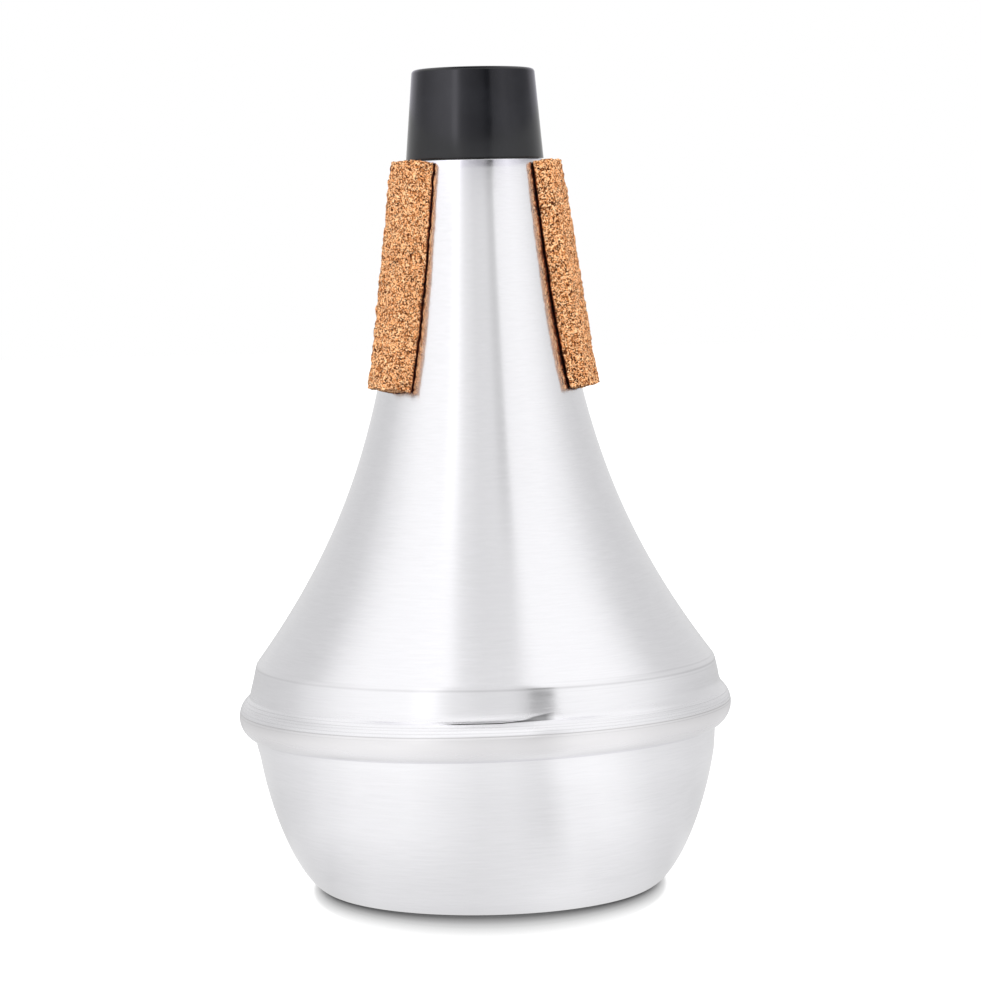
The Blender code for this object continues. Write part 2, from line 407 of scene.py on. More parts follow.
def turned_lines() -> NodeTree:
    """Group of the fine lines that turning and brushing leave round the axis.

    Returns:
        The group, whose outputs are the lines (0 to 1), a broader streak and a height for a bump.
    """
    inputs = [("Along", "Float", 0.0), ("Place", "Vector", 0.0)]
    inputs += [("Pitch", "Float", 2600.0), ("Reach", "Float", 7.0)]
    outputs = [("Lines", "Float"), ("Streaks", "Float"), ("Height", "Float")]
    group, tree, entry, leave = new_group("turned_lines", inputs, outputs)
    place = tree.split(entry.outputs["Place"])
    flat = tree.add("CombineXYZ", {"X": place["X"], "Y": place["Y"], "Z": 0.0})
    links = {0: tree.unit(flat.outputs[0]), "Scale": entry.outputs["Reach"]}
    wrapped = tree.add("VectorMath", links, operation="SCALE").outputs[0]
    sides = tree.split(wrapped)

    def noise_at(pitch_share: float, detail: float, roughness: float) -> Socket:
        """Noise that is stretched round the axis, at a share of the pitch."""
        pitch = tree.math("MULTIPLY", entry.outputs["Pitch"], pitch_share)
        height = tree.math("MULTIPLY", entry.outputs["Along"], pitch)
        spot = tree.add("CombineXYZ", {"X": sides["X"], "Y": sides["Y"], "Z": height}).outputs[0]
        links = {"Vector": spot, "Scale": 1.0, "Detail": detail, "Roughness": roughness}
        return tree.add("TexNoise", links).outputs["Fac"]

    lines = tree.span(noise_at(1.0, 2.0, 0.6), 0.30, 0.70)
    streaks = tree.span(noise_at(0.3, 2.0, 0.5), 0.32, 0.68)
    height = tree.math("ADD", tree.math("MULTIPLY", lines, 0.6), tree.math("MULTIPLY", streaks, 0.4))
    for title, value in (("Lines", lines), ("Streaks", streaks), ("Height", height)):
        tree.put(leave.inputs[title], value)
    return group


def handling_marks() -> NodeTree:
    """Group of the faint dull patches that hands and packing leave.

    Returns:
        The group, whose output is the dullness (0 to 1).
    """
    inputs = [("Place", "Vector", 0.0), ("Scale", "Float", 30.0), ("Amount", "Float", 1.0)]
    group, tree, entry, leave = new_group("handling_marks", inputs, [("Dull", "Float")])
    links = {"Vector": entry.outputs["Place"], "Scale": entry.outputs["Scale"]}
    cloud = tree.add("TexNoise", {**links, "Detail": 4.0, "Roughness": 0.6}).outputs["Fac"]
    dull = tree.math("MULTIPLY", tree.span(cloud, 0.45, 0.72), entry.outputs["Amount"])
    tree.put(leave.inputs["Dull"], dull)
    return group


# finishes


@dataclass(frozen=True)
class RingLine:
    """A fine dark line painted round the metal, the painted shade of a tool mark.

    Attributes:
        place: where it lies along the section.
        width: its whole width.
        dark: how dark it is on the left, at the front and on the right.
    """

    place: float
    width: float
    dark: Colour


@dataclass(frozen=True)
class SpunAluminium:
    """Aluminium sheet, spun and then brushed round the axis.

    Attributes:
        name: name of the material.
        colour: its reflected colour.
        roughness: across the brush lines.
        anisotropy: how much narrower the sheen is along the lines.
        pitch: brush lines per metre along the section.
        relief: height of the brush lines.
        combing: how much higher they are on the combed band, as a share.
        turned_roughness: how much rougher the turned top of the bead is.
        dull_colour: reflected colour of the bead's outer edge.
        dull_roughness: how much rougher that edge is.
        ring_lines: fine dark lines of painted shade round the metal.
        seam: where the roll stands off the band, along the section; its gap is painted shade.
        seam_span: how far round that gap shows, as shares of the radius.
        seam_width: half its width at the front and at its right end.
    """

    name: str
    colour: Colour = (0.9265, 0.922, 0.947)
    roughness: float = 0.16
    anisotropy: float = 0.75
    pitch: float = 3600.0
    relief: float = 0.0025 * MM
    combing: float = 4.0
    turned_roughness: float = 0.10
    dull_colour: Colour = (0.885, 0.874, 0.888)
    dull_roughness: float = 0.16
    ring_lines: tuple[RingLine, ...] = ()
    seam: float = 0.0
    seam_span: Point = (-0.17, 0.275)
    seam_width: Point = (0.16 * MM, 0.80 * MM)

    def material(self, lines_group: NodeTree, marks_group: NodeTree) -> Material:
        """Builds the material.

        Args:
            lines_group: group of the brush lines.
            marks_group: group of the handling marks.

        Returns:
            The material.
        """
        material, tree, shader = new_material(self.name)
        shader.inputs["Metallic"].default_value = 1.0
        shader.inputs["Anisotropic"].default_value = self.anisotropy
        shader.inputs["Anisotropic Rotation"].default_value = 0.25
        place = tree.place()
        length = tree.read("along")
        lines = tree.add("Group", node_tree=lines_group)
        for title, value in (("Along", length), ("Place", place), ("Pitch", self.pitch)):
            tree.put(lines.inputs[title], value)
        marks = tree.add("Group", node_tree=marks_group)
        tree.put(marks.inputs["Place"], place)
        dull = marks.outputs["Dull"]
        dulled = tree.read("dulled")
        darker = tuple(0.955 * c for c in self.colour)
        bright = tree.mix(lines.outputs["Height"], (*darker, 1.0), (*self.colour, 1.0))
        colour = tree.mix(dulled, bright, (*self.dull_colour, 1.0))
        if self.ring_lines:
            parts = tree.split(place)
            flat = tree.add("CombineXYZ", {"X": parts["X"], "Y": parts["Y"], "Z": 0.0}).outputs[0]
            turned = tree.split(tree.unit(flat))
            # painted shade: the ring lines darken the base colour
            colour = tree.mix(self.painted_ring_shade(tree, length, turned["X"]), colour, BLACK)
            # painted shade: the gap at the seam darkens the base colour at the front
            front = tree.math("LESS_THAN", turned["Y"], 0.0)
            gap = tree.math("MULTIPLY", self.painted_seam_shade(tree, length, turned["X"]), front)
            colour = tree.mix(gap, colour, BLACK)
        tree.put(shader.inputs["Base Color"], colour)
        rough = tree.math("MULTIPLY_ADD", lines.outputs["Streaks"], 0.06, self.roughness - 0.03)
        turned = tree.read("turned")
        rough = tree.math("MULTIPLY_ADD", turned, self.turned_roughness, rough)
        rough = tree.math("MULTIPLY_ADD", dulled, self.dull_roughness, rough)
        tree.put(shader.inputs["Roughness"], tree.math("MULTIPLY_ADD", dull, 0.05, rough))
        tree.put(shader.inputs["Tangent"], tree.add("Tangent", direction_type="RADIAL", axis="Z").outputs[0])
        combed = tree.read("combed")
        raised = tree.math("MULTIPLY_ADD", combed, self.combing, 1.0)
        relief = tree.math("MULTIPLY", lines.outputs["Height"], raised)
        bump = tree.add("Bump", {"Height": relief, "Strength": 1.0, "Distance": self.relief})
        tree.put(shader.inputs["Normal"], bump.outputs[0])
        return material

    def painted_ring_shade(self, tree: Tree, length: object, across: object) -> Socket:
        """Painted shade of the ring lines.

        The colours of one ramp along the section say how dark each line is on the left (red), at the front
        (green) and on the right (blue).

        Args:
            tree: the tree to add the nodes to.
            length: distance along the section.
            across: share of the radius towards the right, from -1 to 1.

        Returns:
            The darkness (0 to 1).
        """
        marks = sorted(self.ring_lines, key=lambda line: line.place)
        low = marks[0].place - marks[0].width / 2
        high = marks[-1].place + marks[-1].width / 2
        stops = []
        for line in marks:
            for side, dark in ((-0.5, (0.0, 0.0, 0.0)), (0.0, line.dark), (0.5, (0.0, 0.0, 0.0))):
                stops.append(((line.place + side * line.width - low) / (high - low), dark))
        dark = tree.ramp(tree.span(length, low, high), stops)
        left = tree.span(across, 0.0, -1.0)
        right = tree.span(across, 0.0, 1.0)
        front = tree.math("SUBTRACT", 1.0, tree.math("ADD", left, right))
        weights = tree.add("CombineXYZ", {"X": left, "Y": front, "Z": right}).outputs[0]
        return tree.add("VectorMath", {0: dark, 1: weights}, operation="DOT_PRODUCT").outputs["Value"]

    def painted_seam_shade(self, tree: Tree, length: object, across: object) -> Socket:
        """Painted shade of the gap where the roll stands off the band at the front.

        Args:
            tree: the tree to add the nodes to.
            length: distance along the section.
            across: share of the radius towards the right, from -1 to 1.

        Returns:
            The darkness (0 to 1).
        """
        start, end = self.seam_span
        rise = tree.span(across, 0.06, end, 0.0, 1.0 * MM)
        width = tree.span(across, 0.10, end, *self.seam_width)
        off = tree.math("ABSOLUTE", tree.math("SUBTRACT", tree.math("ADD", length, rise), self.seam))
        near = tree.span(tree.math("DIVIDE", off, width), 1.0, 0.6)
        begun = tree.span(across, start, start + 0.05)
        opened = tree.math("MULTIPLY", begun, tree.span(across, end, end - 0.04))
        depth = tree.span(across, 0.08, 0.20, 0.93, 0.62)
        return tree.math("MULTIPLY", tree.math("MULTIPLY", near, opened), depth)


@dataclass(frozen=True)
class MouldedPlastic:
    """Glossy black plastic.

    Attributes:
        name: name of the material.
        colour: its own colour.
        roughness: of its skin.
        ior: which sets how strongly it reflects.
    """

    name: str = "black_plastic_moulded"
    colour: Colour = (0.0038, 0.0040, 0.0050)
    roughness: float = 0.14
    ior: float = 1.50

    def material(self, marks_group: NodeTree) -> Material:
        """Builds the material.

        Args:
            marks_group: group of the handling marks.

        Returns:
            The material.
        """
        material, tree, shader = new_material(self.name)
        shader.inputs["IOR"].default_value = self.ior
        place = tree.place()
        marks = tree.add("Group", node_tree=marks_group)
        for title, value in (("Place", place), ("Scale", 90.0)):
            tree.put(marks.inputs[title], value)
        dull = marks.outputs["Dull"]
        tree.put(shader.inputs["Roughness"], tree.math("MULTIPLY_ADD", dull, 0.08, self.roughness))
        duller = tuple(1.8 * c for c in self.colour)
        tree.put(shader.inputs["Base Color"], tree.mix(dull, (*self.colour, 1.0), (*duller, 1.0)))
        ripple = tree.add("TexNoise", {"Vector": place, "Scale": 150.0, "Detail": 1.0}).outputs["Fac"]
        bump = tree.add("Bump", {"Height": ripple, "Strength": 1.0, "Distance": 0.02 * MM})
        tree.put(shader.inputs["Normal"], bump.outputs[0])
        return material


@dataclass(frozen=True)
class AgglomeratedCork:
    """Pressed cork granules, cut rough.

    Attributes:
        name: name of the material.
        granule: granules per metre.
    """

    name: str = "cork_agglomerated"
    granule: float = 3600.0

    def material(self) -> Material:
        """Builds the material.

        Returns:
            The material.
        """
        material, tree, shader = new_material(self.name)
        place = tree.place()
        warp = tree.add("TexNoise", {"Vector": place, "Scale": 700.0, "Detail": 2.0}).outputs["Color"]
        nudge = tree.add("VectorMath", {0: warp, "Scale": 0.0009}, operation="SCALE").outputs[0]
        spot = tree.add("VectorMath", {0: place, 1: nudge}, operation="ADD").outputs[0]
        cells = tree.add("TexVoronoi", {"Vector": spot, "Scale": self.granule})
        tone = tree.add("SeparateColor", {"Color": cells.outputs["Color"]}).outputs[0]
        colour = tree.ramp(tone, [
            (0.00, (0.03, 0.006, 0.002)),
            (0.20, (0.18, 0.050, 0.012)),
            (0.45, (0.66, 0.250, 0.080)),
            (0.60, (1.00, 0.460, 0.190)),
            (1.00, (1.00, 0.660, 0.370)),
        ])
        links = {"Vector": spot, "Scale": self.granule}
        gap = tree.add("TexVoronoi", links, feature="DISTANCE_TO_EDGE").outputs["Distance"]
        links = {"Vector": place, "Scale": 3200.0, "Detail": 2.0, "Roughness": 0.7}
        fleck = tree.add("TexNoise", links).outputs["Fac"]
        # dark flecks of the cork, and painted shade in the crevices between its granules
        edges = tree.span(gap, 0.0, 0.12, 0.7, 1.0)
        flecks_and_painted_crevice_shade = tree.math("MULTIPLY", edges, tree.span(fleck, 0.35, 0.43, 0.15, 1.0))
        colour = tree.mix(1.0, colour, tree.grey(flecks_and_painted_crevice_shade), "MULTIPLY")
        # painted shadow: the side wall darkens towards its seat on the cone; to gloss on the mute's right the
        # dark reaches further up, a painted reflection
        lift = tree.read("lift")
        mirrored = tree.add("LightPath").outputs["Is Glossy Ray"]
        aside = tree.math("GREATER_THAN", tree.split(place)["X"], 0.0)
        shaded = tree.math("MULTIPLY_ADD", tree.math("MULTIPLY", mirrored, aside), -0.7, 1.0)
        reach = tree.math("MULTIPLY", lift, shaded)
        seat = tree.ramp(reach, [
            (0.00, (0.08, 0.02, 0.005)),
            (0.03, (0.35, 0.16, 0.09)),
            (0.07, (1.00, 1.00, 1.00)),
        ])
        tree.put(shader.inputs["Base Color"], tree.mix(1.0, colour, seat, "MULTIPLY"))
        shader.inputs["Roughness"].default_value = 0.85
        shader.inputs["Specular IOR Level"].default_value = 0.25
        grain = tree.add("TexNoise", {"Vector": place, "Scale": 3600.0, "Detail": 3.0}).outputs["Fac"]
        height = tree.math("ADD", tree.span(gap, 0.0, 0.25), tree.math("MULTIPLY", grain, 0.7))
        bump = tree.add("Bump", {"Height": height, "Strength": 0.9, "Distance": 0.20 * MM})
        tree.put(shader.inputs["Normal"], bump.outputs[0])
        # painted reflection: to gloss the cork turns up to 60 percent clear away from its seat, so its mirror
        # image in the metal fades
        faint = tree.math("MULTIPLY", mirrored, tree.span(lift, 0.15, 1.0, 0.0, 0.6))
        clear = tree.add("BsdfTransparent").outputs[0]
        mixed = tree.add("MixShader", {0: faint, 1: shader.outputs[0], 2: clear}).outputs[0]
        tree.put(material.node_tree.nodes["Material Output"].inputs["Surface"], mixed)
        return material


# pieces


@dataclass(frozen=True)
class Form:
    """Sizes that more than one piece follows, as in the solids, apart from those of the tilted seam.

    Attributes are in metres and radians. The seam is moved in full between seam_below and seam_above.
    """

    seat_gap: float = 0.3 * MM
    wall: float = 1.0 * MM
    bead_radius: float = 54.0 * MM
    bead_round: float = 5.1 * MM
    bead_height: float = 39.2 * MM
    lip_angle: float = math.radians(-62)
    flange_angle: float = math.radians(20)
    rim_radius: float = 15.1 * MM
    neck_rise: float = 108.8 * MM
    rim_slope: float = 0.118
    rim_reach: float = 41.2 * MM
    shoulder_rise: float = 10.7 * MM
    shoulder_inset: float = 3.7 * MM
    shoulder_slope: float = 0.75
    shoulder_reach: float = 37.4 * MM
    seam_tilt: float = 0.0118
    seam_shift: float = 0.25 * MM
    seam_below: tuple[float, float] = (29.0 * MM, 34.0 * MM)
    seam_above: tuple[float, float] = (43.5 * MM, 47.5 * MM)

    def bead_centre(self) -> Point:
        """Middle of the bead's section."""
        return (self.bead_radius - self.bead_round, self.bead_height)

    def rim(self) -> Point:
        """Outer edge of the neck rim."""
        return (self.rim_radius, self.bead_height + self.shoulder_rise + self.neck_rise)

    def shoulder(self) -> Point:
        """Corner between the flare and the band."""
        return (self.bead_radius - self.shoulder_inset, self.bead_height + self.shoulder_rise)

    def tilt_seam(self, mesh: Mesh) -> None:
        """Sets the rolled seam a little out of square and off centre, as the real one is.

        Args:
            mesh: a spun mesh, moved only near the seam.
        """
        for vertex in mesh.vertices:
            x, y, z = vertex.co
            share = smooth_share(z, *self.seam_below) * (1.0 - smooth_share(z, *self.seam_above))
            vertex.co = (x - share * self.seam_shift, y, z + share * self.seam_tilt * x)

    def flare(self, share: float) -> Point:
        """Point of the cone's outer surface, from the rim (0) to the shoulder (1)."""
        rim, shoulder = self.rim(), self.shoulder()
        rim_handle = (rim[0] + self.rim_slope * self.rim_reach, rim[1] - self.rim_reach)
        reach = self.shoulder_reach
        low_handle = (shoulder[0] - self.shoulder_slope * reach, shoulder[1] + reach)
        return bezier([rim, rim_handle, low_handle, shoulder], share)


@dataclass
class SpunCone:
    """The flared upper shell, with the band and the rolled bead at its foot.

    Attributes:
        form: sizes that it shares with other pieces.
        finish: its metal.
        fillet: radius of the hollow over the bead, on the left.
        wide_fillet: the same on the right.
        turned_zone: heights between which the bead is turned rough.
        turned_fade: heights over which that starts and ends.
        dulled_zone: heights over which the bead's edge grows dull.
        combed_zone: heights between which the band is combed.
        combed_fade: heights over which that starts and ends.
        seam_height: height of the gap between roll and band, which is painted as shade.
        grooves: (height, depth, width) of each groove.
        lines: (height, width, darkness) of each ring line of painted shade; the darkness was read off the
            photograph.
    """

    form: Form
    finish: SpunAluminium
    shoulder_round: float = 3.0 * MM
    band_inset: float = 2.3 * MM
    fillet: float = 0.45 * MM
    wide_fillet: float = 4.5 * MM
    rim_round: float = 0.25 * MM
    flare_steps: int = 60
    shoulder_steps: int = 24
    band_steps: int = 46
    bead_steps: int = 80
    under_steps: int = 20
    inner_steps: tuple[int, int] = (16, 12)
    turned_zone: Point = (40.3 * MM, 45.6 * MM)
    turned_fade: Point = (0.2 * MM, 2.0 * MM)
    dulled_zone: Point = (34.0 * MM, 38.5 * MM)
    combed_zone: Point = (43.2 * MM, 48.6 * MM)
    combed_fade: Point = (0.5 * MM, 3.0 * MM)
    seam_height: float = 42.95 * MM
    grooves: tuple[Colour, ...] = (
        (40.35 * MM, 0.040 * MM, 0.30 * MM),
        (41.12 * MM, 0.012 * MM, 0.20 * MM),
        (41.78 * MM, 0.012 * MM, 0.20 * MM),
        (42.30 * MM, 0.012 * MM, 0.20 * MM),
        (49.35 * MM, 0.020 * MM, 0.40 * MM),
    )
    lines: tuple[tuple[float, float, Colour], ...] = (
        (50.50 * MM, 0.60 * MM, (0.00, 0.00, 0.10)),
        (49.40 * MM, 0.75 * MM, (0.09, 0.18, 0.17)),
        (48.50 * MM, 0.30 * MM, (0.00, 0.00, 0.07)),
        (42.93 * MM, 0.28 * MM, (0.20, 0.10, 0.00)),
        (42.57 * MM, 0.28 * MM, (0.00, 0.00, 0.18)),
        (42.28 * MM, 0.24 * MM, (0.16, 0.22, 0.00)),
        (41.78 * MM, 0.24 * MM, (0.07, 0.18, 0.08)),
        (41.12 * MM, 0.30 * MM, (0.09, 0.20, 0.12)),
        (40.35 * MM, 0.36 * MM, (0.26, 0.36, 0.34)),
        (39.75 * MM, 0.28 * MM, (0.10, 0.04, 0.22)),
    )

    def outline(self, fillet: float) -> list[Point]:
        """Section of the shell: down its outside, round the bead, and up its inside.

        Args:
            fillet: radius of the hollow between the band and the bead.

        Returns:
            The points, as (radius, height); their number doesn't depend on the fillet.
        """
        form = self.form
        centre = form.bead_centre()
        flare = [form.flare(share) for share in fractions(self.flare_steps)]
        band_angle = math.acos((form.bead_round - self.band_inset) / form.bead_round)
        foot = arc(centre, form.bead_round, band_angle, band_angle, 1)[0]
        shoulder = rounded_corner(flare[-2], flare[-1], foot, self.shoulder_round, self.shoulder_steps)
        hollow, bead_angle = self.roll_in(shoulder[-1], centre, band_angle, fillet)
        band = [along(shoulder[-1], hollow[0], share) for share in fractions(self.band_steps)][1:-1]
        over = arc(centre, form.bead_round, bead_angle, 0.0, self.bead_steps)
        under = arc(centre, form.bead_round, 0.0, form.lip_angle, self.under_steps)[1:]
        outer = self.rim_edge(flare[:-1]) + self.score(shoulder + band + hollow + over) + under
        inner_round = form.bead_round - form.wall
        inner_angle = math.acos(min((inner_round - self.band_inset) / inner_round, 1.0))
        inner_roll = arc(centre, inner_round, form.lip_angle, 0.0, self.inner_steps[0])
        inner_roll += arc(centre, inner_round, 0.0, inner_angle, self.inner_steps[1])[1:]
        inner_skin = offset(flare[:-1:3] + shoulder[::3], form.wall)
        inner_skin[0] = (form.rim_radius - form.wall, form.rim()[1])
        return outer + inner_roll + inner_skin[::-1]

    def score(self, points: list[Point]) -> list[Point]:
        """The outline with the fine grooves that the turning tool left on it.

        Args:
            points: a dense stretch of the outline.

        Returns:
            As many points, pressed in at the grooves.
        """
        scored = []
        for point, inward in zip(points, offset(points, MM)):
            depth = 0.0
            for height, groove_depth, width in self.grooves:
                depth += groove_depth * math.exp(-((2.0 * (point[1] - height) / width) ** 2))
            scored.append(along(point, inward, depth / MM))
        return scored

    def rim_edge(self, skin: list[Point]) -> list[Point]:
        """The outside with the rim's outer edge rounded off."""
        rim = skin[0]
        edge = rounded_corner((rim[0] - self.form.wall, rim[1]), rim, skin[1], self.rim_round, 4)
        return edge + skin[1:]

    def roll_in(self, band_end: Point, centre: Point, band_angle: float, fillet: float) -> tuple:
        """Concave rounding between the band and the bead.

        Args:
            band_end: last point of the band's upper end.
            centre: middle of the bead's section.
            band_angle: angle at which the sharp band would meet the bead.
            fillet: radius of the rounding.

        Returns:
            The points of the rounding, and the angle at which the bead goes on.
        """
        form = self.form
        foot = arc(centre, form.bead_round, band_angle, band_angle, 1)[0]
        run = (foot[0] - band_end[0], foot[1] - band_end[1])
        length = math.hypot(*run)
        side = (-run[1] / length, run[0] / length)
        reach = form.bead_round + fillet
        # the rounding's middle lies one fillet radius outside the band and one outside the bead
        base = (band_end[0] + side[0] * fillet, band_end[1] + side[1] * fillet)
        step = (run[0] / length, run[1] / length)
        to_centre = (centre[0] - base[0], centre[1] - base[1])
        middle = to_centre[0] * step[0] + to_centre[1] * step[1]
        across = to_centre[0] * side[0] + to_centre[1] * side[1]
        along_band = middle - math.sqrt(reach ** 2 - across ** 2)
        hub = (base[0] + step[0] * along_band, base[1] + step[1] * along_band)
        from_angle = math.atan2(-side[1], -side[0])
        to_angle = math.atan2(centre[1] - hub[1], centre[0] - hub[0])
        turn = math.remainder(to_angle - from_angle, math.tau)
        points = arc(hub, fillet, from_angle, from_angle + turn, 8)
        bead_angle = math.atan2(hub[1] - centre[1], hub[0] - centre[0])
        return points[:-1], bead_angle

    def build(self, lines: NodeTree, marks: NodeTree) -> Piece:
        """Builds the shell and dresses it."""
        tight, wide = self.outline(self.fillet), self.outline(self.wide_fillet)
        piece = Turning("spun_cone", tight, True).spin()
        self.widen_fillet(piece.data, tight, wide)
        self.mark_zones(piece.data)
        self.form.tilt_seam(piece.data)
        rings = tuple(RingLine(length_at(tight, height), width, dark) for height, width, dark in self.lines)
        finish = replace(self.finish, ring_lines=rings, seam=length_at(tight, self.seam_height))
        piece.data.materials.append(finish.material(lines, marks))
        return piece

    def mark_zones(self, mesh: Mesh) -> None:
        """Marks the turned top of the bead, its duller edge and the combed band in attributes.

        Args:
            mesh: the spun mesh.
        """
        low, high = self.turned_zone
        comb_low, comb_high = self.combed_zone
        turned, dulled, combed = [], [], []
        for vertex in mesh.vertices:
            z = vertex.co.z
            over = smooth_share(z, low, low + self.turned_fade[0])
            turned.append(over * (1.0 - smooth_share(z, high - self.turned_fade[1], high)))
            dulled.append((1.0 - over) * smooth_share(z, *self.dulled_zone))
            rise = smooth_share(z, comb_low, comb_low + self.combed_fade[0])
            fall = smooth_share(z, comb_high - self.combed_fade[1], comb_high)
            combed.append(rise * (1.0 - fall))
        for name, values in (("turned", turned), ("dulled", dulled), ("combed", combed)):
            store(mesh, name, values)

    def widen_fillet(self, mesh: Mesh, tight: list[Point], wide: list[Point]) -> None:
        """Lets the hollow over the bead grow wider towards the right, where the roll closed less sharply.

        Args:
            mesh: the spun mesh.
            tight: section with the narrow hollow, which the mesh has.
            wide: section with the wide one, point for point.
        """
        tree = nearest_in(tight)
        for vertex in mesh.vertices:
            x, y, z = vertex.co
            radius = math.hypot(x, y)
            i = tree.find((radius, 0.0, z))[1]
            share = smooth_share(x / radius, -0.1, 1.0)
            moved = along(tight[i], wide[i], share)
            vertex.co = (x * moved[0] / radius, y * moved[0] / radius, moved[1])


@dataclass
class SpunBowl:
    """The lower shell, from the flange inside the bead down to the foot."""

    form: Form
    finish: SpunAluminium
    foot_radius: float = 35.5 * MM
    foot_width: float = 5.0 * MM
    dish_depth: float = 0.6 * MM
    dish_run: float = 2.0 * MM
    foot_reach: float = 5.2 * MM
    wall_reach: float = 18.2 * MM
    wall_slope: float = 0.105
    seam_drop: float = 4.8 * MM
    wall_steps: int = 44

    def outline(self) -> list[Point]:
        """Section of the shell: from the axis up its inside, over the flange, and down its outside."""
        form = self.form
        centre = form.bead_centre()
        nest = form.bead_round - form.wall - form.seat_gap
        lip = arc(centre, form.bead_round - form.wall, form.lip_angle, form.lip_angle, 1)[0]
        wall_radius = lip[0] - form.seat_gap
        wall_top = (wall_radius, form.bead_height - self.seam_drop)
        wall_neck = (wall_radius, lip[1])
        foot = (self.foot_radius, 0.0)
        handle = (self.foot_radius + self.foot_reach, 0.0)
        wall_handle = (wall_top[0] - self.wall_slope * self.wall_reach, wall_top[1] - self.wall_reach)
        wall = [bezier([wall_top, wall_handle, handle, foot], share) for share in fractions(self.wall_steps)]
        dish_edge = (self.foot_radius - self.foot_width, 0.0)
        dish = (dish_edge[0] - self.dish_run, self.dish_depth)
        floor = [(dish[0] * share, self.dish_depth) for share in fractions(12)]
        flange = arc(centre, nest, form.flange_angle, form.lip_angle, 14)
        outside = [*flange, wall_neck, *wall, dish_edge, *floor[::-1]]
        inner_flange = arc(centre, nest - form.wall, form.lip_angle, form.flange_angle, 14)
        inner_wall = offset([wall_neck, *wall, dish_edge], form.wall)
        inner_wall[-1] = (dish_edge[0], form.wall)
        inside = [(radius, height + form.wall) for radius, height in floor] + inner_wall[::-1] + inner_flange
        return inside + outside

    def build(self, lines: NodeTree, marks: NodeTree) -> Piece:
        """Builds the shell and dresses it."""
        piece = Turning("spun_bowl", self.outline(), False).spin()
        self.form.tilt_seam(piece.data)
        piece.data.materials.append(self.finish.material(lines, marks))
        return piece


@dataclass
class ThroatSleeve:
    """The moulded sleeve that plugs the neck."""

    form: Form
    finish: MouldedPlastic
    rise: float = 19.5 * MM
    inset: float = 0.12 * MM
    taper: float = 1.58 * MM
    lip: float = 0.9 * MM
    wall: float = 2.4 * MM
    bore_round: float = 0.4 * MM
    throat_fit: float = 0.3 * MM
    spigot_length: float = 12.0 * MM
    spigot_lead: float = 0.8 * MM

    def outline(self) -> list[Point]:
        """Section of the sleeve, from its lip down its outside and up its bore."""
        form = self.form
        rim_radius, rim_height = form.rim()
        foot_radius = rim_radius - self.inset
        shoulder = rim_height + form.seat_gap
        top = shoulder + self.rise
        spigot = rim_radius - form.wall - self.throat_fit
        spigot_foot = shoulder - self.spigot_length
        bore = spigot - self.wall
        lip_centre = (foot_radius - self.taper - self.lip, top - self.lip)
        lip = arc(lip_centre, self.lip, math.pi / 2, 0.0, 16)
        foot = (foot_radius, shoulder)
        side = [along(lip[-1], foot, share) for share in fractions(20)][1:-1]
        edge = rounded_corner(lip[-1], foot, (spigot, shoulder), 0.12 * MM, 3)
        round_centre = (bore + self.bore_round, top - self.bore_round)
        bore_edge = arc(round_centre, self.bore_round, math.pi, math.pi / 2, 6)
        bore_side = [along((bore, spigot_foot), bore_edge[0], share) for share in fractions(12)][:-1]
        lead = [(spigot, spigot_foot + self.spigot_lead), (spigot - self.spigot_lead, spigot_foot)]
        return [*lip, *side, *edge, (spigot, shoulder), *lead, *bore_side, *bore_edge]

    def build(self, marks: NodeTree) -> Piece:
        """Builds the sleeve and dresses it."""
        piece = Turning("moulded_sleeve", self.outline(), True, steps=160).spin()
        piece.data.materials.append(self.finish.material(marks))
        return piece


